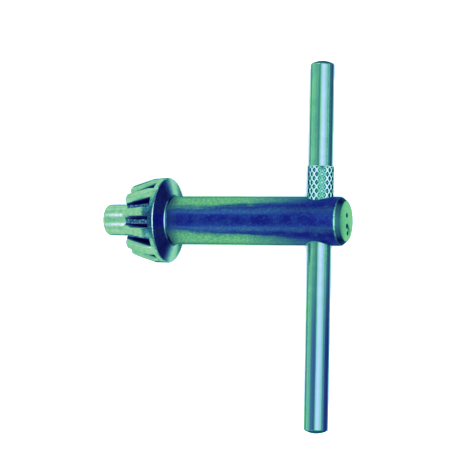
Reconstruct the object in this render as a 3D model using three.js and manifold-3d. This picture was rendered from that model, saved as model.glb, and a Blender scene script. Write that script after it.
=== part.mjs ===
// Drill chuck key: a bevel pinion with its pilot pin, a round shank, and a crossbar handle.
// Millimetres. The origin is the centre of the pilot's tip face, +X runs along the key
// towards the head, the crossbar lies along Y, and +Z is up when the key lies flat.

import * as THREE from 'three';
import { mergeVertices } from 'three/addons/utils/BufferGeometryUtils.js';
import Module from 'manifold-3d';

const wasm = await Module();
wasm.setup();

// Fits
const PRESS_GAP = 0.3; // gap left all round between parts that are pressed together

// Pilot pin
const PILOT_DIAMETER = 8.0;
const PILOT_LENGTH = 7.9; // tip face to the front of the teeth
const PILOT_LEAD_LENGTH = 1.25; // rounded lead-in at the tip, along the axis
const PILOT_LEAD_DEPTH = 0.9; // and across it

// Bevel pinion
const TOOTH_COUNT = 12;
const GROOVE_START_DEG = -4.85; // first tooth space, turned from +Z towards +Y
const TOOTH_FRONT_DIAMETER = 18.0; // over the tooth tips at their front ends
const TOOTH_FRONT_ROUND = 0.65;
const TOOTH_CONE_LENGTH = 6.45;
const RIM_DIAMETER = 22.0;
const RIM_LENGTH = 3.05;
const RIM_CHAMFER = 0.3;
const GROOVE_FRONT_DEPTH = 2.4; // below the tips of the teeth at their small end
const GROOVE_BACK_DEPTH = 2.9; // below the rim at the foot of the closed end
const GROOVE_FLOOR_WIDTH = 1.2;
const GROOVE_FLANK_DEG = 21.5; // lean of each flank
const GROOVE_RUNOUT = 1.5; // from the foot of the closed end to its top edge, along the axis
const GROOVE_END_LAND = 1.4; // full rim left behind the closed ends
const BACK_CONE_LENGTH = 1.2;
const HUB_LIP = 0.4; // how far the hub stands out beyond the shank, all round
const HUB_LENGTH = 0.15;

// Spigot of the pinion in the shank
const SPIGOT_DIAMETER = 7.0;
const SPIGOT_LENGTH = 9.0;
const SPIGOT_CHAMFER = 0.5;

// Shank with its head
const SHANK_DIAMETER = 12.4;
const SHANK_FRONT_CHAMFER = 0.25;
const FLANGE_TO_BAR = 41.45; // back edge of the rim to the crossbar's axis
const BAR_TO_HEAD_END = 7.1;
const HEAD_ROUND_LENGTH = 1.4;
const HEAD_ROUND_DEPTH = 1.15;

// Crossbar
const BAR_DIAMETER = 6.0;
const BAR_SHORT_SIDE = 40.7; // from the key's axis to the end on the knurled side
const BAR_LONG_SIDE = 53.7;
const BAR_CROWN = 0.8; // height of the rounded end
const KNURL_HEIGHT = 0.3; // of the ridges, above the plain bar
const KNURL_END = 13.9; // from the key's axis
const KNURL_STARTS = 14; // crossing ridges counted around the bar
const KNURL_ROWS = 7;
const KNURL_FLOOR = 0.02; // of the pits, above the plain bar

// Fineness of the faceted surfaces
const PINION_SEGMENTS = 96;
const SHANK_SEGMENTS = 72;
const BAR_SEGMENTS = 56;
const ARC_STEPS = 5;

// Stations along the key, worked out from the dimensions above
const teethFront = PILOT_LENGTH;
const rimFront = teethFront + TOOTH_CONE_LENGTH;
const rimBack = rimFront + RIM_LENGTH;
const hubFront = rimBack + BACK_CONE_LENGTH;
const hubBack = hubFront + HUB_LENGTH;
const shankFront = hubBack + PRESS_GAP;
const barAxis = rimBack + FLANGE_TO_BAR;
const headEnd = barAxis + BAR_TO_HEAD_END;

const steel = (color, roughness) => new THREE.MeshStandardMaterial({ color, roughness, metalness: 1 });

// A closed geometry as a solid. Degenerate triangles at the poles of a lathe are dropped.
function solidOf(geometry) {
  const bare = geometry.clone();
  bare.deleteAttribute('normal');
  bare.deleteAttribute('uv');
  const merged = mergeVertices(bare, 1e-4);
  const corners = merged.index.array;
  const kept = [];
  for (let i = 0; i < corners.length; i += 3) {
    const [a, b, c] = corners.slice(i, i + 3);
    if (a !== b && b !== c && c !== a) kept.push(a, b, c);
  }
  const solid = new wasm.Mesh({
    numProp: 3,
    vertProperties: new Float32Array(merged.attributes.position.array),
    triVerts: new Uint32Array(kept),
  });
  return new wasm.Manifold(solid);
}

// A solid as a geometry again.
function geometryOf(solid) {
  const { vertProperties, triVerts } = solid.getMesh();
  const geometry = new THREE.BufferGeometry();
  geometry.setAttribute('position', new THREE.BufferAttribute(vertProperties, 3));
  geometry.setIndex(new THREE.BufferAttribute(triVerts, 1));
  geometry.computeVertexNormals();
  return geometry;
}

// A turned blank: the outline is drawn as (radius, distance along the axis) from axis to axis.
function turned(outline, segments) {
  return new THREE.LatheGeometry(outline.getPoints(ARC_STEPS), segments);
}

// Turns a shape made around Y so that its axis runs along +X.
function alongX(geometry) {
  return geometry.rotateZ(-Math.PI / 2);
}

// Skins rings that all have the same number of points, and closes both ends with a flat fan.
// The diagonals alternate, so that ridges can cross the skin both ways.
function lofted(rings) {
  const around = rings[0].length;
  const points = rings.flat();
  const faces = [];
  for (let row = 0; row + 1 < rings.length; row++) {
    for (let i = 0; i < around; i++) {
      const next = (i + 1) % around;
      const a = row * around + i;
      const b = row * around + next;
      const c = a + around;
      const d = b + around;
      if ((row + i) % 2 === 0) faces.push(a, b, d, a, d, c);
      else faces.push(a, b, c, b, d, c);
    }
  }
  const centre = (ring) => ring.reduce((sum, p) => sum.add(p), new THREE.Vector3()).divideScalar(around);
  const first = points.push(centre(rings[0])) - 1;
  const last = points.push(centre(rings[rings.length - 1])) - 1;
  const lastRow = (rings.length - 1) * around;
  for (let i = 0; i < around; i++) {
    const next = (i + 1) % around;
    faces.push(first, next, i, last, lastRow + i, lastRow + next);
  }
  return new THREE.BufferGeometry().setFromPoints(points).setIndex(faces);
}

// Tooth space: a floor that climbs a little less than the cone, with leaning flanks and a sloping
// closed end. Drawn along X with its floor towards the axis, at the top of the pinion.
function grooveCutter() {
  const past = 1; // how far the cutter stands out of the blank
  const top = RIM_DIAMETER / 2 + past;
  const closedTop = rimBack - GROOVE_END_LAND;
  const closedFoot = closedTop - GROOVE_RUNOUT;
  const frontFloor = TOOTH_FRONT_DIAMETER / 2 - GROOVE_FRONT_DEPTH;
  const backFloor = RIM_DIAMETER / 2 - GROOVE_BACK_DEPTH;
  const floorSlope = (backFloor - frontFloor) / (closedFoot - teethFront);
  const floorAt = (x) => frontFloor + floorSlope * (x - teethFront);
  const climb = GROOVE_BACK_DEPTH / GROOVE_RUNOUT;
  const lean = Math.tan(THREE.MathUtils.degToRad(GROOVE_FLANK_DEG));
  const narrow = GROOVE_FLOOR_WIDTH / 2;
  const section = (footX, topX) => {
    const wide = narrow + lean * (top - floorAt(topX));
    return [
      new THREE.Vector3(footX, -narrow, floorAt(footX)),
      new THREE.Vector3(footX, narrow, floorAt(footX)),
      new THREE.Vector3(topX, wide, top),
      new THREE.Vector3(topX, -wide, top),
    ];
  };
  const start = teethFront - past;
  return lofted([section(start, start), section(closedFoot, closedTop + past / climb)]);
}

// Pilot, teeth, rim, back cone, hub and spigot, turned in one piece and then cut.
function bevelPinion() {
  const pilot = PILOT_DIAMETER / 2;
  const front = TOOTH_FRONT_DIAMETER / 2;
  const rim = RIM_DIAMETER / 2;
  const hub = SHANK_DIAMETER / 2 + HUB_LIP;
  const spigot = SPIGOT_DIAMETER / 2;
  const cone = (rim - front) / TOOTH_CONE_LENGTH;
  const roundEnd = teethFront + TOOTH_FRONT_ROUND;
  const spigotEnd = hubBack + SPIGOT_LENGTH;

  const outline = new THREE.Path();
  outline.moveTo(0, 0);
  outline.lineTo(pilot - PILOT_LEAD_DEPTH, 0);
  outline.quadraticCurveTo(pilot, PILOT_LEAD_LENGTH / 4, pilot, PILOT_LEAD_LENGTH);
  outline.lineTo(pilot, teethFront);
  outline.lineTo(front - TOOTH_FRONT_ROUND, teethFront);
  outline.quadraticCurveTo(front, teethFront, front + cone * TOOTH_FRONT_ROUND, roundEnd);
  outline.lineTo(rim, rimFront);
  outline.lineTo(rim, rimBack - RIM_CHAMFER);
  outline.lineTo(rim - RIM_CHAMFER, rimBack);
  outline.lineTo(hub, hubFront);
  outline.lineTo(hub, hubBack);
  outline.lineTo(spigot, hubBack);
  outline.lineTo(spigot, spigotEnd - SPIGOT_CHAMFER);
  outline.lineTo(spigot - SPIGOT_CHAMFER, spigotEnd);
  outline.lineTo(0, spigotEnd);

  let pinion = solidOf(alongX(turned(outline, PINION_SEGMENTS)));
  for (let tooth = 0; tooth < TOOTH_COUNT; tooth++) {
    const turn = THREE.MathUtils.degToRad(GROOVE_START_DEG + (360 / TOOTH_COUNT) * tooth);
    pinion = pinion.subtract(solidOf(grooveCutter().rotateX(-turn)));
  }
  return new THREE.Mesh(geometryOf(pinion), steel(0x8fc79c, 0.35));
}

// Round bar with a blind bore for the spigot and a cross hole through the head.
function keyShank() {
  const radius = SHANK_DIAMETER / 2;
  const bore = SPIGOT_DIAMETER / 2 + PRESS_GAP;
  const boreEnd = hubBack + SPIGOT_LENGTH + PRESS_GAP;
  const hole = BAR_DIAMETER / 2 + PRESS_GAP;

  const outline = new THREE.Path();
  outline.moveTo(0, boreEnd);
  outline.lineTo(bore, boreEnd);
  outline.lineTo(bore, shankFront);
  outline.lineTo(radius - SHANK_FRONT_CHAMFER, shankFront);
  outline.lineTo(radius, shankFront + SHANK_FRONT_CHAMFER);
  outline.lineTo(radius, headEnd - HEAD_ROUND_LENGTH);
  outline.quadraticCurveTo(radius, headEnd, radius - HEAD_ROUND_DEPTH, headEnd);
  outline.lineTo(0, headEnd);

  const blank = solidOf(alongX(turned(outline, SHANK_SEGMENTS)));
  const drill = new THREE.CylinderGeometry(hole, hole, 2 * SHANK_DIAMETER, BAR_SEGMENTS);
  const shank = blank.subtract(solidOf(drill.translate(barAxis, 0, 0)));
  return new THREE.Mesh(geometryOf(shank), steel(0x2a3f78, 0.4));
}

// Knurled band: ridges cross at every second point of the grid, with a pit between them.
function knurlBand() {
  const ridge = BAR_DIAMETER / 2 + KNURL_HEIGHT;
  const pit = BAR_DIAMETER / 2 + KNURL_FLOOR;
  const start = SHANK_DIAMETER / 2 + PRESS_GAP;
  const columns = 2 * KNURL_STARTS;
  const rings = [];
  for (let row = 0; row <= KNURL_ROWS; row++) {
    const y = start + ((KNURL_END - start) * row) / KNURL_ROWS;
    const ring = [];
    for (let column = 0; column < columns; column++) {
      const angle = (2 * Math.PI * column) / columns;
      const radius = (row + column) % 2 === 0 ? ridge : pit;
      ring.push(new THREE.Vector3(radius * Math.sin(angle), y, radius * Math.cos(angle)));
    }
    rings.push(ring);
  }
  return lofted(rings);
}

// Crossbar pressed through the head, with crowned ends and the knurl on its short side.
function tommyBar() {
  const radius = BAR_DIAMETER / 2;
  const outline = new THREE.Path();
  outline.moveTo(0, -BAR_LONG_SIDE);
  outline.quadraticCurveTo(radius / 2, -BAR_LONG_SIDE, radius, -BAR_LONG_SIDE + BAR_CROWN);
  outline.lineTo(radius, BAR_SHORT_SIDE - BAR_CROWN);
  outline.quadraticCurveTo(radius / 2, BAR_SHORT_SIDE, 0, BAR_SHORT_SIDE);

  const bar = solidOf(turned(outline, BAR_SEGMENTS)).add(solidOf(knurlBand()));
  const mesh = new THREE.Mesh(geometryOf(bar), steel(0x6fb7ae, 0.3));
  mesh.position.x = barAxis;
  return mesh;
}

const chuckKey = new THREE.Group();
const pieces = { bevel_pinion: bevelPinion(), key_shank: keyShank(), tommy_bar: tommyBar() };
for (const [name, mesh] of Object.entries(pieces)) {
  mesh.name = name;
  chuckKey.add(mesh);
}

export default chuckKey;
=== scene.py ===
# %% [markdown]
# # A drill chuck key
#
# The object is the small T-shaped steel key that tightens a geared drill chuck. It is three pieces:
# a bevel pinion with its pilot pin, a dark round shank with a head, and a crossbar with a knurled band.
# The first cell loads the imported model, which fixes where everything is. All lengths in Blender are
# metres, so `MM` turns the sizes of this small object, which are given in millimetres, into metres.

# %% Load the fixed frame
import math

import bmesh
import bpy
from mathutils import Matrix, Vector


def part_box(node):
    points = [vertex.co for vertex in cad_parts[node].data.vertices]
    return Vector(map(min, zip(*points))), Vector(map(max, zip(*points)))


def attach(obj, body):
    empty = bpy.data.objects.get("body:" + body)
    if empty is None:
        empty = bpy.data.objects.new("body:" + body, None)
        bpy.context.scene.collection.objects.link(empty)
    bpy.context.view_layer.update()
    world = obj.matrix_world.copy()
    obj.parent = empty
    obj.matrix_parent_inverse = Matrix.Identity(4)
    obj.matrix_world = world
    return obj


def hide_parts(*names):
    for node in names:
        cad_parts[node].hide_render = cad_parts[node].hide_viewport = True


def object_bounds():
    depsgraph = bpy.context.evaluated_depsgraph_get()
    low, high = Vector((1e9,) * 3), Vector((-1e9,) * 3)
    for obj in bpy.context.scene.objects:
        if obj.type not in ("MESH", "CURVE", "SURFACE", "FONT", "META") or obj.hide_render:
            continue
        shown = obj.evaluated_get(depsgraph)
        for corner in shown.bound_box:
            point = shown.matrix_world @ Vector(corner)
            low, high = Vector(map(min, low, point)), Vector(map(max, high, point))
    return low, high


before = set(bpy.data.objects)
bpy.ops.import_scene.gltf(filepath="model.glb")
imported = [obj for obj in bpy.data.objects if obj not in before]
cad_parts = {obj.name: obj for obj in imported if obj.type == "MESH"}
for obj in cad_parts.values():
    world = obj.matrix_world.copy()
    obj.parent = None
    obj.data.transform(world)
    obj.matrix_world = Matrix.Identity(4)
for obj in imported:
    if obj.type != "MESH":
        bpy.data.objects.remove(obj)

MM = 0.001
cad_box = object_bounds()

# %% [markdown]
# ## Sizes
#
# The frame gives the outer sizes: the pinion's rim, the shank's radius and ends, and the crossbar's
# length and place. Asking the frame for them keeps the detailed pieces exactly where the plain ones
# are. Only what is finer than the frame, such as the width of a tooth space, is a number here.

# %% Read the driving sizes from the frame
KEY_AXIS = Vector((1, 0, 0))
BAR_AXIS = Vector((0, 1, 0))

pinion_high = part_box("bevel_pinion")[1]
shank_low, shank_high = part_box("key_shank")
bar_low, bar_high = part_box("tommy_bar")

RIM_RADIUS = pinion_high.z
SHANK_RADIUS = shank_high.z
SHANK_FRONT = shank_low.x
HEAD_END = shank_high.x
BAR_PLACE = (bar_low.x + bar_high.x) / 2
KNURL_RADIUS = (bar_high.x - bar_low.x) / 2
KNURL_HEIGHT = 0.3 * MM
BAR_RADIUS = KNURL_RADIUS - KNURL_HEIGHT

print(f"rim {RIM_RADIUS / MM:.2f}, shank {SHANK_RADIUS / MM:.2f}, bar {BAR_RADIUS / MM:.2f} mm radius")

# %% [markdown]
# ## Turning a round piece
#
# A lathe makes a round piece from one outline. Blender's lathe is `bmesh.ops.spin`: a chain of edges
# is swept around an axis. An outline that starts and ends on the axis closes the piece, and merging
# doubles turns the ring of zero-length edges at each pole into one point. Most outlines here are only
# corner points. Roundings come afterwards, as a bevel on the rings that need one, which is also how a
# turner works: the shape first, then the edges broken.

# %% Helpers that turn an outline and round its edges
TURN_STEPS = 144
WELD = 0.001 * MM


def turned(outline, axis, steps=TURN_STEPS):
    """A round mesh from (distance along the axis, radius) points, in metres."""
    side = Vector((0, 0, 1))
    mesh = bmesh.new()
    chain = [mesh.verts.new(axis * along + side * radius) for along, radius in outline]
    for start, end in zip(chain, chain[1:]):
        mesh.edges.new((start, end))
    bmesh.ops.spin(
        mesh, geom=mesh.verts[:] + mesh.edges[:], cent=(0, 0, 0), axis=axis,
        angle=math.tau, steps=steps, use_merge=True,
    )
    bmesh.ops.remove_doubles(mesh, verts=mesh.verts, dist=WELD)
    bmesh.ops.recalc_face_normals(mesh, faces=mesh.faces)
    return mesh


def ring(mesh, axis, along, radius):
    """The edges of one turned corner, found by where both of their ends are."""
    def on_ring(point):
        height = point.dot(axis)
        away = (point - axis * height).length
        return abs(height - along) < 0.01 * MM and abs(away - radius) < 0.01 * MM
    return [edge for edge in mesh.edges if all(on_ring(vert.co) for vert in edge.verts)]


def break_edge(mesh, axis, along, radius, size, segments=4):
    """Rounds one turned corner."""
    bmesh.ops.bevel(
        mesh, geom=ring(mesh, axis, along, radius), offset=size, offset_type="OFFSET",
        segments=segments, profile=0.5, affect="EDGES", clamp_overlap=True, material=-1,
    )


# %% [markdown]
# ## From a mesh to a piece
#
# A finished piece is one object at the origin whose place is in its mesh. Smooth shading hides the
# facets of the turned faces, and edges sharper than about 30 degrees stay crisp. Where holes or
# grooves are needed, a Boolean modifier subtracts a tool mesh, as a drill or a milling cutter does,
# and its result is kept as the mesh.

# %% Helpers that finish, cut and clean a mesh
CRISP_ANGLE = math.radians(32)


def as_object(name, mesh):
    data = bpy.data.meshes.new(name)
    mesh.to_mesh(data)
    mesh.free()
    piece = bpy.data.objects.new(name, data)
    bpy.context.scene.collection.objects.link(piece)
    return piece


def cut_away(blank, tool):
    """Subtracts one mesh from another and returns the result as a new mesh to work on."""
    body = as_object("blank", blank)
    cutter = as_object("cutter", tool)
    cut = body.modifiers.new("cut", "BOOLEAN")
    cut.operation = "DIFFERENCE"
    cut.solver = "EXACT"
    cut.object = cutter
    result = body.evaluated_get(bpy.context.evaluated_depsgraph_get())
    mesh = bmesh.new()
    mesh.from_mesh(result.data)
    bpy.data.objects.remove(body)
    bpy.data.objects.remove(cutter)
    bmesh.ops.remove_doubles(mesh, verts=mesh.verts, dist=5 * WELD)
    bmesh.ops.dissolve_degenerate(mesh, edges=mesh.edges, dist=5 * WELD)
    return mesh


def break_cut_edges(mesh, start, end, size):
    """Rounds the sharp outer edges that a cut has left between two places along the key."""
    picked = []
    for edge in mesh.edges:
        middle = (edge.verts[0].co + edge.verts[1].co) / 2
        outer = len(edge.link_faces) == 2 and edge.is_convex and edge.calc_face_angle(0) > CRISP_ANGLE
        if outer and start < middle.x < end:
            picked.append(edge)
    bmesh.ops.bevel(
        mesh, geom=picked, offset=size, offset_type="OFFSET", segments=2, profile=0.5,
        affect="EDGES", clamp_overlap=False, material=-1,
    )
    bmesh.ops.remove_doubles(mesh, verts=mesh.verts, dist=5 * WELD)
    bmesh.ops.dissolve_degenerate(mesh, edges=mesh.edges, dist=5 * WELD)
    return len(picked)


def finish_piece(name, mesh, node, finishes):
    """Makes the visible piece that stands for a CAD node, hangs it on the root body and hides the node.
    """
    bmesh.ops.recalc_face_normals(mesh, faces=mesh.faces)
    for face in mesh.faces:
        face.smooth = True
    loose = sum(1 for edge in mesh.edges if len(edge.link_faces) != 2)
    piece = as_object(name, mesh)
    piece.data.set_sharp_from_angle(angle=CRISP_ANGLE)
    for finish in finishes:
        piece.data.materials.append(finish)
    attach(piece, "root")
    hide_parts(node)
    print(name, len(piece.data.polygons), "faces,", loose, "open edges")
    return piece


# %% [markdown]
# ## Shader maths in plain expressions
#
# A procedural finish is mostly arithmetic on places and on noise. Written as nodes it is long, so
# `Term` wraps a socket and gives it Python's operators: each one adds a Math node. Colours stay out
# of it, because a Math node turns them grey.

# %% A class for numbers in a shader
class Term:
    """A number that varies over the surface. Operators on it add Math nodes."""

    def __init__(self, shader, socket):
        self.shader = shader
        self.socket = socket

    def maths(self, operation, *values):
        return self.shader.term("ShaderNodeMath", {"operation": operation}, dict(enumerate(values)))

    def __add__(self, other):
        return self.maths("ADD", self, other)

    __radd__ = __add__

    def __mul__(self, other):
        return self.maths("MULTIPLY", self, other)

    __rmul__ = __mul__

    def __sub__(self, other):
        return self.maths("SUBTRACT", self, other)

    def __rsub__(self, other):
        return self.maths("SUBTRACT", other, self)

    def root(self):
        return self.maths("SQRT", self)

    def size(self):
        return self.maths("ABSOLUTE", self)

    def at_most(self, other):
        return self.maths("MINIMUM", self, other)

    def between(self, low, high):
        """0 at low and before it, 1 at high and past it, and a soft step from one to the other."""
        settings = {"interpolation_type": "SMOOTHSTEP"}
        if low > high:
            return 1 - self.between(high, low)
        return self.shader.term("ShaderNodeMapRange", settings, {0: self, 1: low, 2: high})


# %% [markdown]
# ## One way to add any other node
#
# Everything that isn't arithmetic goes through `Shader.node`, which sets a node's options and feeds
# its sockets with plain values, links or terms. On top of it stand the few things that every finish
# here asks for: the coordinates in millimetres, noise of a given fineness, and a blend of two colours.
# `Finish` adds the Principled shader. The same class without it draws the studio further down.

# %% A class for a node tree, and one for a metal finish
class Shader:
    """Adds nodes to a tree. `place` is the vector that its patterns read."""

    def __init__(self, tree, coordinates):
        self.tree = tree
        self.place = self.node("ShaderNodeTexCoord").outputs[coordinates]

    def node(self, kind, settings=None, values=None):
        node = self.tree.nodes.new(kind)
        for key, value in (settings or {}).items():
            setattr(node, key, value)
        for key, value in (values or {}).items():
            self.feed(node.inputs[key], value)
        return node

    def feed(self, socket, value):
        if isinstance(value, Term):
            value = value.socket
        if isinstance(value, bpy.types.NodeSocket):
            self.tree.links.new(value, socket)
        else:
            socket.default_value = value

    def term(self, kind, settings=None, values=None):
        return Term(self, self.node(kind, settings, values).outputs[0])

    def axes(self, shift=(0, 0, 0), unit=1.0):
        """The three coordinates of `place`, counted from a shifted origin in the given unit."""
        moved = self.node("ShaderNodeVectorMath", {"operation": "SUBTRACT"}, {0: self.place, 1: shift})
        values = {0: moved.outputs[0], "Scale": 1 / unit}
        scaled = self.node("ShaderNodeVectorMath", {"operation": "SCALE"}, values)
        split = self.node("ShaderNodeSeparateXYZ", values={0: scaled.outputs[0]})
        return [Term(self, output) for output in split.outputs]

    def noise(self, scale, stretch=(1, 1, 1), detail=3.0, roughness=0.55):
        """Noise with about `scale` features to the millimetre, drawn out where stretch is small."""
        size = tuple(scale * share / MM for share in stretch)
        mapped = self.node("ShaderNodeMapping", values={"Vector": self.place, "Scale": size})
        values = {"Vector": mapped.outputs[0], "Scale": 1.0, "Detail": detail, "Roughness": roughness}
        return self.term("ShaderNodeTexNoise", None, values)

    def blend(self, factor, first, second):
        """A colour between two colours, each given as red, green and blue or as a link."""
        mix = self.node("ShaderNodeMix", {"data_type": "RGBA"})
        self.feed(mix.inputs[0], factor)
        for socket, colour in ((mix.inputs[6], first), (mix.inputs[7], second)):
            self.feed(socket, colour + (1,) if isinstance(colour, tuple) else colour)
        return mix.outputs[2]


class Finish(Shader):
    """One metal finish: a Principled shader, and the nodes that vary it."""

    def __init__(self, name, **constants):
        self.material = bpy.data.materials.new(name)
        self.material.use_nodes = True
        super().__init__(self.material.node_tree, "Object")
        self.surface = self.tree.nodes["Principled BSDF"]
        for socket, value in constants.items():
            self.surface.inputs[socket.replace("_", " ")].default_value = value

    def vary(self, **sockets):
        for socket, value in sockets.items():
            self.feed(self.surface.inputs[socket.replace("_", " ")], value)

    def relief(self, height, depth):
        """Bump of the given depth in millimetres where height goes from 0 to 1."""
        bump = self.node("ShaderNodeBump", values={"Height": height, "Distance": depth * MM})
        self.feed(self.surface.inputs["Normal"], bump.outputs[0])


# %% [markdown]
# ## The pinion's blank
#
# The pilot pin, the toothed cone, the rim and the short hub behind it are one turned blank. Two narrow
# facets are drawn into its outline, one behind the rim and one on the hub. They could be bevels too,
# but a facet leans one way all round, so where it faces the light it shows as a thin bright line,
# which a rounded edge would only blur. The pilot's nose and the front of the teeth are rounded
# afterwards, with bevels, and the corners of the facets are broken very slightly.

# %% Turn the blank
PILOT_RADIUS = 4.0 * MM
TEETH_FRONT = 7.9 * MM
TOOTH_FRONT_RADIUS = 9.0 * MM
RIM_FRONT = 14.35 * MM
RIM_BACK = 17.4 * MM
RIM_FACET = (0.30 * MM, 0.14 * MM)
HUB_RADIUS = SHANK_RADIUS + 0.4 * MM
HUB_FRONT = 18.6 * MM
HUB_FACET = (0.28 * MM, 0.15 * MM)
NECK_RADIUS = SHANK_RADIUS - 0.45 * MM
NECK_END = SHANK_FRONT + 1 * MM
NOSE_ROUND = 1.05 * MM
TEETH_ROUND = 0.6 * MM
RIM_EDGE = 0.06 * MM
HUB_EDGE = 0.05 * MM


def pinion_blank():
    corners = [
        (0, 0),
        (0, PILOT_RADIUS),
        (TEETH_FRONT, PILOT_RADIUS),
        (TEETH_FRONT, TOOTH_FRONT_RADIUS),
        (RIM_FRONT, RIM_RADIUS),
        (RIM_BACK - RIM_FACET[0], RIM_RADIUS),
        (RIM_BACK, RIM_RADIUS - RIM_FACET[1]),
        (HUB_FRONT, HUB_RADIUS),
        (HUB_FRONT + HUB_FACET[0], HUB_RADIUS - HUB_FACET[1]),
        (HUB_FRONT + HUB_FACET[0], NECK_RADIUS),
        (NECK_END, NECK_RADIUS),
        (NECK_END, 0),
    ]
    mesh = turned(corners, KEY_AXIS, steps=2 * TURN_STEPS)
    break_edge(mesh, KEY_AXIS, 0, PILOT_RADIUS, NOSE_ROUND, segments=6)
    break_edge(mesh, KEY_AXIS, TEETH_FRONT, TOOTH_FRONT_RADIUS, TEETH_ROUND)
    break_edge(mesh, KEY_AXIS, RIM_BACK, RIM_RADIUS - RIM_FACET[1], RIM_EDGE, segments=2)
    break_edge(mesh, KEY_AXIS, HUB_FRONT, HUB_RADIUS, HUB_EDGE, segments=2)
    return mesh


# %% [markdown]
# ## The tooth spaces
#
# Each tooth space has a floor that climbs a little less than the cone, two leaning flanks, and a flat
# closed end that slopes up through the rim. Such a cutter could be lofted. It is simpler to extrude
# one section along the floor and to cut it off with a slanting plane: `bisect_plane` leaves the end
# open, and `contextual_create` closes it. `spin` repeats the cutter around the key's axis, and one
# Boolean takes them all out. Then every sharp outer edge of the teeth is broken, since a light line
# along each edge is what tells the eye that the teeth are cut metal.

# %% Make one cutter and repeat it around the blank
TOOTH_COUNT = 12
FIRST_GROOVE = math.radians(-4.85)
FRONT_DEPTH = 2.4 * MM
BACK_DEPTH = 2.9 * MM
GROOVE_FLOOR = 1.2 * MM
GROOVE_LEAN = math.tan(math.radians(21.5))
FLOOR_CORNER = 0.3 * MM
CLOSED_LAND = 1.4 * MM
RUNOUT = 1.5 * MM
TOOTH_EDGE = 0.11 * MM
CUTTER_SPARE = 2 * MM
CUTTER_LEAD = 1 * MM
CLOSED_TOP = RIM_BACK - CLOSED_LAND
CLOSED_FOOT = CLOSED_TOP - RUNOUT
CONE_SLOPE = (RIM_RADIUS - TOOTH_FRONT_RADIUS) / (RIM_FRONT - TEETH_FRONT)
FRONT_FLOOR = TOOTH_FRONT_RADIUS - FRONT_DEPTH
FLOOR_SLOPE = (RIM_RADIUS - BACK_DEPTH - FRONT_FLOOR) / (CLOSED_FOOT - TEETH_FRONT)


def floor_height(along):
    return FRONT_FLOOR + FLOOR_SLOPE * (along - TEETH_FRONT)


def groove_section():
    """Half of the cutter's section, as (across, above the floor) points from the floor up."""
    half = GROOVE_FLOOR / 2
    above = BACK_DEPTH + CUTTER_SPARE
    return [
        (half - FLOOR_CORNER, 0),
        (half - 0.1 * FLOOR_CORNER, 0.3 * FLOOR_CORNER),
        (half + GROOVE_LEAN * FLOOR_CORNER, FLOOR_CORNER),
        (half + GROOVE_LEAN * above, above),
    ]


def groove_cutter():
    """One cutter at the top of the pinion, with its slanting closed end."""
    half = groove_section()
    outline = [(-across, above) for across, above in half] + half[::-1]
    start, end = TEETH_FRONT - CUTTER_LEAD, RIM_BACK
    mesh = bmesh.new()
    height = floor_height(start)
    corners = [mesh.verts.new((start, across, height + above)) for across, above in outline]
    front = mesh.faces.new(corners)
    grown = bmesh.ops.extrude_face_region(mesh, geom=[front], use_keep_orig=True)
    moved = [item for item in grown["geom"] if isinstance(item, bmesh.types.BMVert)]
    bmesh.ops.translate(mesh, verts=moved, vec=(end - start, 0, floor_height(end) - height))

    climb = Vector((RUNOUT, 0, BACK_DEPTH))
    outwards = climb.cross(Vector((0, -1, 0)))
    cut = bmesh.ops.bisect_plane(
        mesh, geom=mesh.verts[:] + mesh.edges[:] + mesh.faces[:], dist=WELD,
        plane_co=(CLOSED_TOP, 0, RIM_RADIUS), plane_no=outwards, clear_outer=True,
    )
    rim = [item for item in cut["geom_cut"] if isinstance(item, bmesh.types.BMEdge)]
    bmesh.ops.contextual_create(mesh, geom=rim)
    bmesh.ops.recalc_face_normals(mesh, faces=mesh.faces)
    return mesh


def groove_cutters():
    mesh = groove_cutter()
    turn = Matrix.Rotation(-FIRST_GROOVE, 3, KEY_AXIS)
    bmesh.ops.rotate(mesh, verts=mesh.verts, cent=(0, 0, 0), matrix=turn)
    bmesh.ops.spin(
        mesh, geom=mesh.verts[:] + mesh.edges[:] + mesh.faces[:], cent=(0, 0, 0), axis=KEY_AXIS,
        angle=math.tau * (TOOTH_COUNT - 1) / TOOTH_COUNT, steps=TOOTH_COUNT - 1, use_duplicate=True,
    )
    open_edges = sum(1 for edge in mesh.edges if len(edge.link_faces) != 2)
    print("cutters:", len(mesh.faces), "faces,", open_edges, "open edges")
    return mesh


pinion_mesh = cut_away(pinion_blank(), groove_cutters())
teeth_from, teeth_to = TEETH_FRONT - 0.1 * MM, RIM_BACK - 0.6 * MM
broken = break_cut_edges(pinion_mesh, teeth_from, teeth_to, TOOTH_EDGE)
print("pinion cut:", len(pinion_mesh.faces), "faces,", broken, "edges broken")

# %% [markdown]
# ## The shank
#
# The shank is a plain round bar. Its head ends in a narrow facet and a broad chamfer, whose corners
# are then rounded. The cross hole is drilled through the head, and its mouths are countersunk a
# little, so that a light line runs around the crossbar where it goes in. Such a hole could be cut
# into the mesh by hand and bridged. A Boolean needs no matching of vertices, and its drill is a
# turned tool as well: a cylinder with a cone at each mouth. Three punched dots mark the end face,
# made with blunt cones.

# %% Turn the shank and drill it
HEAD_FACET = (0.36 * MM, 0.16 * MM)
HEAD_CHAMFER = (1.15 * MM, 1.0 * MM)
FRONT_EDGE = 0.18 * MM
CHAMFER_EDGE = 0.3 * MM
FACE_EDGE = 0.22 * MM
DRILL_PLAY = 0.02 * MM
MOUTH_DEPTH = 0.75 * MM
MOUTH_FLARE = 1.8 * MM
PUNCH_DOTS = ((1.5, -0.3, 0.62), (-1.2, -0.5, 0.66), (-3.0, -0.9, 0.56))
PUNCH_TIP = 0.12 * MM
PUNCH_LENGTH = 0.7 * MM


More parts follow.
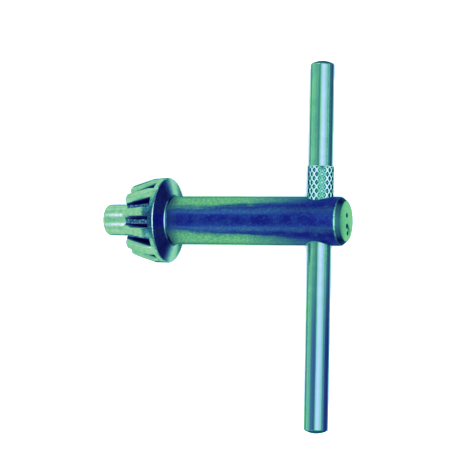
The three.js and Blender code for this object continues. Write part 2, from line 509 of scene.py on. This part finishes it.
def cross_drill():
    reach = 1.5 * SHANK_RADIUS
    mouth = SHANK_RADIUS - MOUTH_DEPTH
    snug = BAR_RADIUS + DRILL_PLAY
    flared = snug + MOUTH_FLARE
    outline = [(-reach, 0), (-reach, flared), (-mouth, snug), (mouth, snug), (reach, flared), (reach, 0)]
    mesh = turned(outline, BAR_AXIS, steps=TURN_STEPS // 2)
    bmesh.ops.translate(mesh, verts=mesh.verts, vec=(BAR_PLACE, 0, 0))
    return mesh


def punches():
    """Blunt cones that point into the end face, each given as (across, up, radius) in millimetres."""
    mesh = bmesh.new()
    turn = Matrix.Rotation(-math.pi / 2, 4, "Y")
    for across, up, radius in PUNCH_DOTS:
        bmesh.ops.create_cone(
            mesh, cap_ends=True, segments=16, radius1=2 * radius * MM, radius2=PUNCH_TIP,
            depth=PUNCH_LENGTH, matrix=Matrix.Translation((HEAD_END, across * MM, up * MM)) @ turn,
        )
    bmesh.ops.recalc_face_normals(mesh, faces=mesh.faces)
    return mesh


def shank():
    face_radius = SHANK_RADIUS - HEAD_FACET[1] - HEAD_CHAMFER[1]
    facet_end = HEAD_END - HEAD_CHAMFER[0]
    outline = [
        (SHANK_FRONT, 0),
        (SHANK_FRONT, SHANK_RADIUS),
        (facet_end - HEAD_FACET[0], SHANK_RADIUS),
        (facet_end, SHANK_RADIUS - HEAD_FACET[1]),
        (HEAD_END, face_radius),
        (HEAD_END, 0),
    ]
    mesh = turned(outline, KEY_AXIS, steps=TURN_STEPS)
    break_edge(mesh, KEY_AXIS, SHANK_FRONT, SHANK_RADIUS, FRONT_EDGE, segments=3)
    break_edge(mesh, KEY_AXIS, facet_end, SHANK_RADIUS - HEAD_FACET[1], CHAMFER_EDGE, segments=3)
    break_edge(mesh, KEY_AXIS, HEAD_END, face_radius, FACE_EDGE, segments=3)
    return cut_away(cut_away(mesh, cross_drill()), punches())


shank_mesh = shank()
print("shank cut:", len(shank_mesh.faces), "faces")

# %% [markdown]
# ## The crossbar
#
# The crossbar is a drawn rod whose ends are gently crowned. A crown is an arc from the axis to the
# rim, so its points come from the circle that passes through both.
#
# The knurled band is rolled into the rod: two sets of ridges cross at an angle and leave a diamond
# pit in every gap. It could be a bump in the shader, but real ridges also show in the outline and
# shade their own pits. The band is turned as a coarse grid, cut along its diagonals, and freed of its
# straight edges, which leaves one diamond face for each pit. Insetting each face gives the ridge its
# width and a sloping side, and a second, deeper inset sinks the pit. The band's own faces get the
# second material before the rod and the band become one mesh.

# %% Turn the rod and roll the knurl
CROWN = 0.8 * MM
CROWN_STEPS = 6
CROWN_EDGE = 0.25 * MM
KNURL_STARTS = 14
KNURL_ROWS = 7
HIDDEN_ROWS = 2
KNURL_END = 13.9 * MM
KNURL_GAP = 0.3 * MM
KNURL_PITCH = (KNURL_END - SHANK_RADIUS - KNURL_GAP) / KNURL_ROWS
KNURL_START = KNURL_END - KNURL_PITCH * (KNURL_ROWS + HIDDEN_ROWS)
RIDGE = (0.15 * MM, 0.06 * MM)
PIT = (0.20 * MM, 0.20 * MM)
SKIRT_DEPTH = 0.1 * MM


def crown(end, towards):
    """Points of a crowned end, from the axis to the rim. `towards` is 1 or -1 along the bar."""
    sweep_radius = (BAR_RADIUS ** 2 + CROWN ** 2) / (2 * CROWN)
    widest = math.asin(BAR_RADIUS / sweep_radius)
    points = []
    for step in range(CROWN_STEPS + 1):
        angle = widest * step / CROWN_STEPS
        drop = sweep_radius * (1 - math.cos(angle))
        points.append((end - towards * drop, sweep_radius * math.sin(angle)))
    return points


def plain_rod():
    outline = crown(bar_low.y, -1) + crown(bar_high.y, 1)[::-1]
    mesh = turned(outline, BAR_AXIS, steps=TURN_STEPS // 2)
    for end, towards in ((bar_low.y, -1), (bar_high.y, 1)):
        break_edge(mesh, BAR_AXIS, end - towards * CROWN, BAR_RADIUS, CROWN_EDGE, segments=3)
    return mesh


def diamond_grid():
    """A tube around the bar whose faces are diamonds, one for each pit."""
    columns = 2 * KNURL_STARTS
    rows = KNURL_ROWS + HIDDEN_ROWS
    outline = [(KNURL_START + KNURL_PITCH * row, KNURL_RADIUS) for row in range(rows + 1)]
    mesh = turned(outline, BAR_AXIS, steps=columns)

    def parity(vert):
        row = round((vert.co.y - KNURL_START) / KNURL_PITCH)
        column = round(math.atan2(vert.co.x, vert.co.z) / math.tau * columns)
        return (row + column) % 2

    straight = mesh.edges[:]
    for face in mesh.faces[:]:
        corners = [vert for vert in face.verts if parity(vert) == 0]
        bmesh.ops.connect_verts(mesh, verts=corners)
    inner = [edge for edge in straight if len(edge.link_faces) == 2]
    bmesh.ops.dissolve_edges(mesh, edges=inner, use_verts=True)
    bmesh.ops.recalc_face_normals(mesh, faces=mesh.faces)
    return mesh


def knurl_band():
    mesh = diamond_grid()
    pits = mesh.faces[:]
    for width, drop in (RIDGE, PIT):
        bmesh.ops.inset_individual(mesh, faces=pits, thickness=width, depth=-drop, use_even_offset=True)
    rims = [edge for edge in mesh.edges if len(edge.link_faces) == 1]
    skirt = bmesh.ops.extrude_edge_only(mesh, edges=rims)
    inwards = (BAR_RADIUS - SKIRT_DEPTH) / KNURL_RADIUS
    for item in skirt["geom"]:
        if isinstance(item, bmesh.types.BMVert):
            item.co.x *= inwards
            item.co.z *= inwards
    bmesh.ops.holes_fill(mesh, edges=mesh.edges)
    return mesh


def crossbar():
    mesh = plain_rod()
    band = knurl_band()
    for face in band.faces:
        face.material_index = 1
    data = bpy.data.meshes.new("band")
    band.to_mesh(data)
    band.free()
    mesh.from_mesh(data)
    bpy.data.meshes.remove(data)
    bmesh.ops.translate(mesh, verts=mesh.verts, vec=(BAR_PLACE, 0, 0))
    return mesh


crossbar_mesh = crossbar()
print("crossbar:", len(crossbar_mesh.faces), "faces")

# %% [markdown]
# ## Bright pinion steel
#
# The pinion is bright steel with a pale green cast. Turning leaves fine rings around the key's axis,
# so the bump noise is drawn out around the axis and fine along it. Broad soft noise moves the colour
# and the gloss, as handling and plating do. The flanks of the tooth spaces are painted dark blue as
# painted shade, and the floor between them is mottled between dark and light. The cone behind the rim
# is painted shade above and painted light below. A painted highlight runs along the edges of the teeth
# and on the little facet behind the rim. The rim's land has painted shade where it faces up and down,
# and the ring on the hub has a painted highlight there and painted shade at its sides.
#
# Such zones could be painted on a map or given to faces. Here each is found from where a point is:
# how far along the key, how far from its axis, and how high above the floor of a tooth space. Nothing
# has to be unwrapped or painted then, and the zones follow the sizes above. A name that ends in TINTS
# holds two tints that noise or place moves between.

# %% Name the pinion's tints
STEEL_TINTS = ((0.74, 0.76, 0.66), (0.96, 0.92, 0.86))
EDGE_HIGHLIGHT_TINT = (0.98, 0.94, 0.98)
FLOOR_TINTS = ((0.16, 0.14, 0.34), (0.62, 0.52, 0.70))
# Painted shade: the flanks of the tooth spaces are painted near black-blue.
FLANK_SHADE_TINT = (0.035, 0.03, 0.14)
RIM_SHADE_TINTS = ((0.14, 0.18, 0.24), (0.30, 0.34, 0.44))
GLINT_TINTS = ((0.44, 0.44, 0.62), (0.95, 0.92, 1.0))
SHADED_TINTS = ((0.10, 0.08, 0.26), (0.17, 0.14, 0.36))
UNDERSIDE_LIGHT_TINTS = ((0.58, 0.62, 0.64), (0.74, 0.76, 0.76))
HUB_HIGHLIGHT_TINTS = ((0.70, 0.72, 0.84), (0.12, 0.14, 0.24))

# %% [markdown]
# ## The teeth
#
# The skin of the toothed cone is worked out first, since a point's depth under it tells a tip from a
# tooth space. The edges of the teeth get a painted highlight: a thin strip just under the tips. The
# height above the floor of a tooth space then tells its floor from its flanks, which are painted dark
# as painted shade.

# %% Colour the teeth
def teeth_colour(steel, along, away, fleck, bright):
    """The colour of the toothed cone, and how deep a point lies under the cone's skin."""
    from_front = along - TEETH_FRONT / MM
    skin = (from_front * CONE_SLOPE + TOOTH_FRONT_RADIUS / MM).at_most(RIM_RADIUS / MM)
    nose = from_front.between(0.7, 0)
    depth = skin - away - 0.55 * nose
    above_floor = away - (from_front * FLOOR_SLOPE + FRONT_FLOOR / MM)
    dark_to = 0.9 + 0.16 * from_front

    # Painted highlight: a thin, nearly white strip just under the tips of the teeth.
    edge = steel.blend(depth.between(0.02, 0.08), bright, EDGE_HIGHLIGHT_TINT)
    edge = steel.blend(depth.between(0.2, 0.5), edge, bright)
    floor = steel.blend(fleck.between(0.4, 0.62), *FLOOR_TINTS)
    # Painted shade: high on the sides of a tooth space, the flanks turn near black-blue.
    space = steel.blend(above_floor.between(0.34, 0.14), FLANK_SHADE_TINT, floor)
    space = steel.blend((dark_to - above_floor).between(-0.3, 0.3), edge, space)
    return steel.blend(from_front.between(0.02, 0.1), bright, space), depth


# %% [markdown]
# ## The whole pinion
#
# The zones are laid over each other from the front to the back, and the later one wins: the teeth,
# the land of the rim with its painted shade, the facet behind it with its painted highlight, the back
# cone with painted shade above and painted light below, and the ring on the hub, a painted highlight
# where it faces up and down.

# %% Mix the pinion finish
def pinion_finish():
    steel = Finish("bright_pinion", Metallic=1.0)
    along, across, up = steel.axes(unit=MM)
    away = (across * across + up * up).root()
    mottle = steel.noise(0.9, detail=4.0)
    fleck = steel.noise(2.2, detail=3.0)
    grain = steel.noise(3.0, stretch=(3.0, 0.25, 0.25), detail=2.0)

    mottled = mottle.between(0.35, 0.7)
    bright = steel.blend(mottled, *STEEL_TINTS)
    teeth, depth = teeth_colour(steel, along, away, fleck, bright)

    # Painted shade: the rim's land is dark where it faces up and down and keeps the bright steel at its
    # sides.
    rim = steel.blend(fleck.between(0.4, 0.7), *RIM_SHADE_TINTS)
    rim = steel.blend(across.size().between(3.2, 6.5), rim, bright)
    land = (along + 1.6 * (fleck - 0.5)).between(RIM_FRONT / MM - 0.7, RIM_FRONT / MM + 0.7)
    land = land * depth.between(0.16, 0.06)
    colour = steel.blend(land, teeth, rim)
    facet = (RIM_BACK - RIM_FACET[0]) / MM
    # Painted highlight: a pale lavender-white line on the facet behind the rim.
    glint = steel.blend(fleck.between(0.35, 0.6), *GLINT_TINTS)
    colour = steel.blend(along.between(facet - 0.02, facet + 0.02), colour, glint)

    # Painted shade on the upper side of the back cone, and painted light on its lower side.
    shaded = steel.blend(mottled, *SHADED_TINTS)
    lit_underside = steel.blend(mottled, *UNDERSIDE_LIGHT_TINTS)
    back = steel.blend((up - 0.12 * across.size()).between(2.5, -3.6), shaded, lit_underside)
    colour = steel.blend(along.between(RIM_BACK / MM - 0.01, RIM_BACK / MM + 0.03), colour, back)
    hub = HUB_FRONT / MM
    # Painted highlight on the hub's facet where it faces up and down, and painted shade at its sides.
    hub_highlight = steel.blend(across.size().between(3.2, 5.4), *HUB_HIGHLIGHT_TINTS)
    colour = steel.blend(along.between(hub - 0.03, hub + 0.02), colour, hub_highlight)

    steel.vary(Base_Color=colour, Roughness=0.16 + 0.1 * mottle + 0.05 * grain)
    steel.relief(grain * 0.6 + mottle * 0.4, 0.02)
    return steel.material


# %% [markdown]
# ## Dark blued shank
#
# The shank is dark blue, as blued or hardened steel is, with a speckled, slightly cloudy surface. Its
# two sides are painted a greener grey as painted light, which narrows and fades towards the head, and
# two faint lighter lines run lengthwise between them and the middle. The painted light on the sides and
# the lines are found from the distance to the middle of the shank, which noise makes uneven, so that
# neither has a straight border.
#
# At the head, the facet has a painted highlight where it faces up and down, the chamfer beyond it is
# painted dark as painted shade, and the end face is bare, ground steel with dark dots. These rings are
# told apart by how far along the key they are.

# %% Name the shank's tints
BLUED_TINTS = ((0.08, 0.06, 0.40), (0.13, 0.12, 0.50))
SPECKLE_TINT = (0.30, 0.36, 0.60)
LENGTHWISE_LINE_TINT = (0.34, 0.31, 0.54)
SHOULDER_TINT = (0.30, 0.30, 0.56)
SIDE_LIGHT_TINTS = ((0.54, 0.58, 0.34), (0.74, 0.74, 0.50))
MOUTH_HIGHLIGHT_TINT = (0.60, 0.66, 0.78)
HEAD_HIGHLIGHT_TINTS = ((0.24, 0.28, 0.40), (0.84, 0.84, 1.0))
CHAMFER_SHADE_TINTS = ((0.03, 0.05, 0.10), (0.24, 0.28, 0.30))
FACE_TINTS = ((0.56, 0.66, 0.38), (0.72, 0.80, 0.48))
PUNCHED_TINT = (0.03, 0.05, 0.06)

# %% [markdown]
# ## The rings of the head
#
# The rings are laid over the colour of the shank in the order in which a turner meets them. The dots
# lie inside the end face, so they are blended over it at the very end.

# %% Colour the head
def head_colour(steel, colour, along, across, up, speckle):
    """The given colour with the facet, the chamfer, the end face and its dots laid over it."""
    facet = (HEAD_END - HEAD_CHAMFER[0] - HEAD_FACET[0]) / MM
    chamfer = (HEAD_END - HEAD_CHAMFER[0]) / MM
    middle = across.size().between(5.0, 3.2)
    # Painted highlight on the head's facet where it faces up and down.
    arc = steel.blend(middle * speckle.between(0.3, 0.55), *HEAD_HIGHLIGHT_TINTS)
    # Painted shade on the head's chamfer, darkest at its sides.
    chamfer_shade = steel.blend(middle, *CHAMFER_SHADE_TINTS)
    colour = steel.blend(along.between(facet - 0.02, facet + 0.06), colour, arc)
    colour = steel.blend(along.between(chamfer - 0.06, chamfer + 0.08), colour, chamfer_shade)

    face = HEAD_END / MM
    bare = steel.blend(speckle.between(0.3, 0.7), *FACE_TINTS)
    colour = steel.blend(along.between(face - 0.16, face - 0.04), colour, bare)
    away = (across * across + up * up).root()
    punched = along.between(face - 0.03, face - 0.06) * away.between(4.6, 4.5)
    return steel.blend(punched * along.between(face - 1, face - 0.9), colour, PUNCHED_TINT)


# %% [markdown]
# ## The whole shank
#
# The shank's own blue comes first, with its speckle and its lengthwise lines. The painted light on the
# sides lies over it, then the painted highlight on the mouths of the cross hole, and the head last.

# %% Mix the shank finish
def shank_finish():
    steel = Finish("blued_steel", Metallic=1.0)
    along, across, up = steel.axes(unit=MM)
    cloud = steel.noise(0.3, detail=5.0)
    speckle = steel.noise(1.7, detail=2.0)
    streak = steel.noise(1.6, stretch=(0.06, 1, 1), detail=2.0)
    blue = steel.blend(cloud.between(0.38, 0.66), *BLUED_TINTS)
    blue = steel.blend(speckle.between(0.52, 0.75) * 0.4, blue, SPECKLE_TINT)
    share = across.size() + 1.6 * (streak - 0.5) - 1.6 * (cloud - 0.5)
    lengthwise_lines = share.between(1.0, 2.2) * share.between(3.8, 2.6)
    lengthwise_lines = lengthwise_lines * (0.12 + 0.6 * speckle)
    blue = steel.blend(lengthwise_lines, blue, LENGTHWISE_LINE_TINT)
    blue = steel.blend(along.between(23, 19.5) * 0.6, blue, SHOULDER_TINT)
    # Painted light: the shank's sides turn a greener grey, narrowing and fading towards the head.
    green = steel.blend(speckle.between(0.35, 0.7), *SIDE_LIGHT_TINTS)
    painted_light_zone = (share - 0.045 * (along - 30)).between(2.7, 4.1) * along.between(64, 36)
    colour = steel.blend(painted_light_zone, blue, green)
    from_bar = along - BAR_PLACE / MM
    drilled = (from_bar * from_bar + up * up).root()
    # Painted highlight around the mouths of the cross hole.
    colour = steel.blend(drilled.between(3.55, 3.35), colour, MOUTH_HIGHLIGHT_TINT)
    colour = head_colour(steel, colour, along, across, up, speckle)

    steel.vary(Base_Color=colour, Roughness=0.26 + 0.14 * cloud + 0.1 * speckle)
    steel.relief(speckle * 0.5 + streak * 0.5, 0.03)
    return steel.material


# %% [markdown]
# ## Drawn rod and its knurl
#
# The rod is smoother than the shank: a soft satin with fine lines along its length. Across the way it
# is seen, it is painted greener on one side and bluer on the other, as painted reflection. The long
# half is tinted a little bluer, with two dark streaks of painted shade, and the crowned ends are dark.
#
# On the knurl, the ridges are lighter and the pits darker, as painted highlight and painted shade, so
# the colour follows the distance from the bar's axis. Away from the bar's middle line the ridges get
# more painted highlight and the pits more painted shade, and the ridges are also a little matt. A metal
# shows only what stands around it, so they get a share of plain, non-metallic surface, which stays pale
# from every side.

# %% Name the crossbar's tints
ROD_REFLECTION_TINTS = ((0.66, 0.70, 0.60), (0.66, 0.66, 0.84))
CLOUD_TINT = (0.40, 0.44, 0.50)
LONG_SIDE_TINT = (0.58, 0.60, 0.78)
SHADE_STREAK_TINT = (0.36, 0.27, 0.74)
CROWN_TINT = (0.02, 0.04, 0.05)
RIDGE_HIGHLIGHT_TINTS = ((0.68, 0.76, 0.88), (0.88, 0.84, 1.0))
PIT_SHADE_TINTS = ((0.36, 0.43, 0.56), (0.03, 0.03, 0.10))
PLAIN_SHARE = 0.32
ASIDE = Vector((0.93, 0, -0.37))

# %% [markdown]
# ## Across and along the bar
#
# Both finishes count from the bar's own axis. The bar is seen from above and a little towards the
# head, so its painted reflection, highlight and shade are laid out along the direction ASIDE, which is
# square to that. The crowns are found from how far a point is beyond the end on its side, with one
# formula for both ends.

# %% Mix the two crossbar finishes
def beside_middle(across, up):
    """How far a point lies beside the bar's middle line, counted along ASIDE."""
    return across * ASIDE.x + up * ASIDE.z


def rod_finish():
    steel = Finish("rod_steel", Metallic=1.0)
    across, along, up = steel.axes(shift=(BAR_PLACE, 0, 0), unit=MM)
    cloud = steel.noise(0.3, detail=4.0)
    line = steel.noise(2.4, stretch=(1, 0.05, 1), detail=3.0)
    aside = beside_middle(across, up)
    # Painted reflection: greener on the left and bluer on the right, across the direction the bar is
    # seen from.
    tone = steel.blend(aside.between(-1.2, 0.4), *ROD_REFLECTION_TINTS)
    tone = steel.blend(cloud.between(0.3, 0.7) * 0.25, tone, CLOUD_TINT)
    # The long half of the rod is tinted a little bluer.
    toward_long_end = along.between(-8, -34)
    tone = steel.blend(toward_long_end * 0.7, tone, LONG_SIDE_TINT)
    # Painted shade: two dark streaks along the long half, laid across the direction the bar is seen
    # from.
    left = aside.between(-2.1, -1.4) * aside.between(-0.3, -1.0)
    shade_streaks = (left * 0.8 + aside.between(0.9, 1.9)) * toward_long_end
    tone = steel.blend(shade_streaks, tone, SHADE_STREAK_TINT)
    to_long_end, to_short_end = -bar_low.y / MM, bar_high.y / MM
    beyond = along.size() - to_long_end + along.between(-1, 1) * (to_long_end - to_short_end)
    tone = steel.blend(beyond.between(-0.82, -0.62), tone, CROWN_TINT)
    steel.vary(Base_Color=tone, Roughness=0.15 + 0.08 * cloud + 0.06 * line)
    steel.relief(line, 0.012)
    return steel.material


def knurl_finish():
    steel = Finish("knurl_steel", Metallic=1.0)
    across, along, up = steel.axes(shift=(BAR_PLACE, 0, 0), unit=MM)
    away = (across * across + up * up).root()
    grit = steel.noise(3.5, detail=2.0)
    painted_light_zone = away.between(KNURL_RADIUS / MM - 0.18, KNURL_RADIUS / MM - 0.07)
    spread = beside_middle(across, up).size()
    flank = spread.between(0.7, 1.5) * spread.between(3.1, 2.7)
    # Painted highlight on the ridges and painted shade in the pits, both stronger away from the bar's
    # middle line.
    ridge_highlight = steel.blend(flank, *RIDGE_HIGHLIGHT_TINTS)
    pit_shade = steel.blend(spread.between(0.7, 1.5), *PIT_SHADE_TINTS)
    steel.vary(Base_Color=steel.blend(painted_light_zone * spread.between(3.3, 3.0), pit_shade, ridge_highlight))
    steel.vary(Metallic=1 - PLAIN_SHARE * flank * painted_light_zone, Roughness=0.36 - 0.1 * painted_light_zone + 0.1 * grit)
    steel.relief(grit, 0.02)
    return steel.material


# %% [markdown]
# ## Three pieces for three nodes
#
# Each visible piece takes the place of one node of the plain model. The key has no moving parts, so all
# three ride on the same body. The crossbar gets two materials: its knurled band uses the second.

# %% Finish the three pieces
finish_piece("pinion_and_pilot", pinion_mesh, "bevel_pinion", [pinion_finish()])
finish_piece("shank_and_head", shank_mesh, "key_shank", [shank_finish()])
finish_piece("knurled_crossbar", crossbar_mesh, "tommy_bar", [rod_finish(), knurl_finish()])

# %% [markdown]
# ## Floor
#
# The key lies as such a key does: on the rim, on the edge of the head and on the crossbar's long
# end, so it leans a little against the frame, whose axes follow the key. The paper takes up that lean
# under the key, and falls away gently to a flat all round, so that low views see past it. It is one
# grid whose rows are crowded towards the middle, where the slope changes.

# %% Lay the paper
PAPER_SIZE = 6.0
PAPER_CELLS = 160
PAPER_CROWDING = 1.6
PAPER_FLAT_FROM = 0.075
PAPER_FLAT_TO = 0.20
PAPER_GAP = 0.02 * MM
PAPER_GREYS = ((0.80, 0.80, 0.80), (0.82, 0.82, 0.82))

lean_x = (RIM_RADIUS - SHANK_RADIUS) / (HEAD_END - HEAD_CHAMFER[0] - RIM_BACK)
support_front = -RIM_RADIUS - lean_x * RIM_BACK
lean_y = (support_front + lean_x * BAR_PLACE + BAR_RADIUS) / (bar_low.y + CROWN)


def support(x, y):
    """Height of the plane that the key touches."""
    return support_front + lean_x * x - lean_y * y


def lay_paper():
    west, east = cad_box[0][0], cad_box[1][0]
    south, north = cad_box[0][1], cad_box[1][1]
    middle = Vector(((west + east) / 2, (south + north) / 2, 0))
    level = min(support(x, y) for x in (west, east) for y in (south, north))
    mesh = bmesh.new()
    bmesh.ops.create_grid(mesh, x_segments=PAPER_CELLS, y_segments=PAPER_CELLS, size=PAPER_SIZE / 2)
    for vert in mesh.verts:
        reach = vert.co.xy.length / (PAPER_SIZE / 2)
        vert.co.xy = vert.co.xy * reach ** PAPER_CROWDING + middle.xy
        away = (vert.co.xy - middle.xy).length
        share = min(max((away - PAPER_FLAT_FROM) / (PAPER_FLAT_TO - PAPER_FLAT_FROM), 0), 1)
        share = share * share * (3 - 2 * share)
        under_key = support(min(max(vert.co.x, west), east), min(max(vert.co.y, south), north))
        vert.co.z = (1 - share) * under_key + share * level - PAPER_GAP
    for face in mesh.faces:
        face.smooth = True
    return as_object("paper", mesh)


paper = lay_paper()
white = Finish("paper_white", Roughness=0.9)
fibre = white.noise(0.02)
white.vary(Base_Color=white.blend(fibre.between(0.3, 0.7), *PAPER_GREYS))
paper.data.materials.append(white.material)
paper.visible_glossy = False
leans = [math.degrees(math.atan(lean)) for lean in (lean_x, lean_y)]
print(f"paper leans {leans[0]:.1f} and {leans[1]:.1f} degrees")

# %% [markdown]
# ## Camera
#
# A long lens from about 0.62 m keeps the key nearly free of perspective. The camera looks down at the
# flat key from a little towards its head, so that the end face and the back of the rim both show. It
# is placed from the point it looks at, which CAMERA_AIM counts from the middle of the rim's back, to
# the right and upwards as the camera sees it.

# %% Place the camera
CAMERA_TURN = math.radians(21.56)
CAMERA_TILT = math.radians(1.64)
CAMERA_ROLL = math.radians(1.14)
CAMERA_REACH = 0.619
CAMERA_LENS = 182.6
CAMERA_AIM = (17.11 * MM, -3.50 * MM)
CAMERA_SEES_TO = 20


def place_camera():
    back = Vector((
        math.sin(CAMERA_TURN) * math.cos(CAMERA_TILT),
        -math.sin(CAMERA_TILT),
        math.cos(CAMERA_TURN) * math.cos(CAMERA_TILT),
    ))
    right = Vector((math.cos(CAMERA_TURN), 0, -math.sin(CAMERA_TURN)))
    above = back.cross(right)
    target = Vector((RIM_BACK, 0, 0)) + right * CAMERA_AIM[0] + above * CAMERA_AIM[1]
    rolled_right = right * math.cos(CAMERA_ROLL) + above * math.sin(CAMERA_ROLL)
    rolled_above = above * math.cos(CAMERA_ROLL) - right * math.sin(CAMERA_ROLL)
    turn = Matrix((rolled_right, rolled_above, back)).transposed().to_4x4()
    camera = bpy.data.objects.new("camera", bpy.data.cameras.new("camera"))
    camera.data.lens = CAMERA_LENS
    camera.data.clip_end = CAMERA_SEES_TO
    camera.matrix_world = Matrix.Translation(target + back * CAMERA_REACH) @ turn
    bpy.context.scene.collection.objects.link(camera)
    bpy.context.scene.camera = camera


place_camera()

# %% [markdown]
# ## Light
#
# Polished metal shows what stands around it more than the light that falls on it. Lamps would give it
# a few hard spots, so the studio is a dome whose brightness is drawn by direction. Where the steel
# faces up or towards the ends of the key, it sees ARC: pairs of an angle, turned around the crossbar's
# axis, and a brightness. Its bright part, above the head's side, gives the pale line along the
# crossbar and on every facet that leans that way. Where the steel faces sideways, it sees SIDE, whose
# pairs are a height and a brightness, dimmed on the head's half. Two soft spots give the twin bands
# on the pilot, and a bright horizon stands low all round.

# %% Draw the studio dome
ARC = (
    (-180, 0.30), (-162, 0.08), (-142, 0.12), (-122, 0.40), (-92, 0.52), (-60, 0.58), (-40, 0.46),
    (-22, 0.44), (-13, 0.28), (-5, 0.28), (4, 0.60), (15, 1.1), (30, 1.3), (45, 1.05), (60, 0.76),
    (74, 0.54), (88, 0.36), (104, 0.24), (122, 0.20), (138, 0.08), (146, 0.10), (153, 0.80),
    (168, 0.85), (180, 0.60),
)
SIDE = ((-1, 0.70), (-0.3, 0.58), (0.0, 0.47), (0.2, 0.46), (0.45, 0.50), (0.7, 0.56), (1, 0.50))
LOW_SIDE_LIGHT = (0.22, 0.22, 0.22)
SPOT = Vector((-0.371, 0.545, 0.75))
SPOT_RIM = math.cos(math.radians(15))
SPOT_CORE = math.cos(math.radians(7))
SPOT_LIGHT = (1.35, 1.35, 1.5)
HORIZON_LIGHT = (1.0, 1.0, 1.0)


def grey_ramp(shader, factor, stops):
    """A brightness that follows the given (place from 0 to 1, brightness) stops."""
    ramp = shader.node("ShaderNodeValToRGB", values={"Fac": factor})
    ramp.color_ramp.interpolation = "EASE"
    points = ramp.color_ramp.elements
    for place, level in stops[1:-1]:
        points.new(place).color = (level, level, level, 1)
    for point, (place, level) in ((points[0], stops[0]), (points[-1], stops[-1])):
        point.color = (level, level, level, 1)
    return ramp.outputs["Color"]


def studio_dome():
    world = bpy.data.worlds.new("studio")
    world.use_nodes = True
    dome = Shader(world.node_tree, "Generated")
    x, y, z = dome.axes()
    turn = dome.term("ShaderNodeMath", {"operation": "ARCTAN2"}, {0: x, 1: z})
    arc_stops = [(angle / 360 + 0.5, level) for angle, level in ARC]
    side_stops = [(height / 2 + 0.5, level) for height, level in SIDE]
    arc = grey_ramp(dome, turn * (1 / math.tau) + 0.5, arc_stops)
    side = grey_ramp(dome, z * 0.5 + 0.5, side_stops)
    side = dome.blend(x.between(-0.2, 0.15), side, LOW_SIDE_LIGHT)
    light = dome.blend(y.size().between(0.3, 0.75), arc, side)
    near = x * SPOT.x + y.size() * SPOT.y + z * SPOT.z
    light = dome.blend(near.between(SPOT_RIM, SPOT_CORE), light, SPOT_LIGHT)
    horizon = z.between(-0.03, -0.02) * z.between(0.06, 0.05)
    light = dome.blend(horizon, light, HORIZON_LIGHT)
    dome.feed(dome.tree.nodes["Background"].inputs["Color"], light)
    bpy.context.scene.world = world


studio_dome()

# %% [markdown]
# ## Sun for the paper, and the tone of the picture
#
# The sun stands behind the camera, so that the key hides its own shadow, and it lights little but the
# paper. Neither the sun nor the paper shows in reflections, so that the metal sees the dome alone.
#
# The picture has strong toning: the darks go to navy, the middle tones to green and the lights to
# pale lavender. One curve for each colour does that to the whole picture at once, and leaves black
# black and white white. Each pair is a brightness before the curve and after it.

# %% Hang the sun and set the toning
SUN_STRENGTH = 5.2
SUN_WIDTH = math.radians(12)
RED_TONES = ((0.05, 0.01), (0.15, 0.03), (0.3, 0.09), (0.42, 0.2), (0.6, 0.36), (0.8, 0.56))
GREEN_TONES = ((0.05, 0.03), (0.15, 0.135), (0.3, 0.34), (0.42, 0.56), (0.6, 0.66), (0.8, 0.77))
BLUE_TONES = (
    (0.03, 0.05), (0.08, 0.12), (0.15, 0.17), (0.3, 0.28), (0.42, 0.34), (0.6, 0.6), (0.8, 0.9),
)


def hang_sun():
    lamp = bpy.data.lights.new("sun", "SUN")
    lamp.energy = SUN_STRENGTH
    lamp.angle = SUN_WIDTH
    holder = bpy.data.objects.new("sun", lamp)
    holder.matrix_world = bpy.context.scene.camera.matrix_world
    holder.visible_glossy = False
    bpy.context.scene.collection.objects.link(holder)


def set_toning():
    view = bpy.context.scene.view_settings
    view.view_transform = "Standard"
    view.look = "None"
    view.use_curve_mapping = True
    curves = view.curve_mapping
    for curve, tones in zip(curves.curves, (RED_TONES, GREEN_TONES, BLUE_TONES)):
        for place, level in tones:
            curve.points.new(place, level)
    curves.update()


hang_sun()
set_toning()
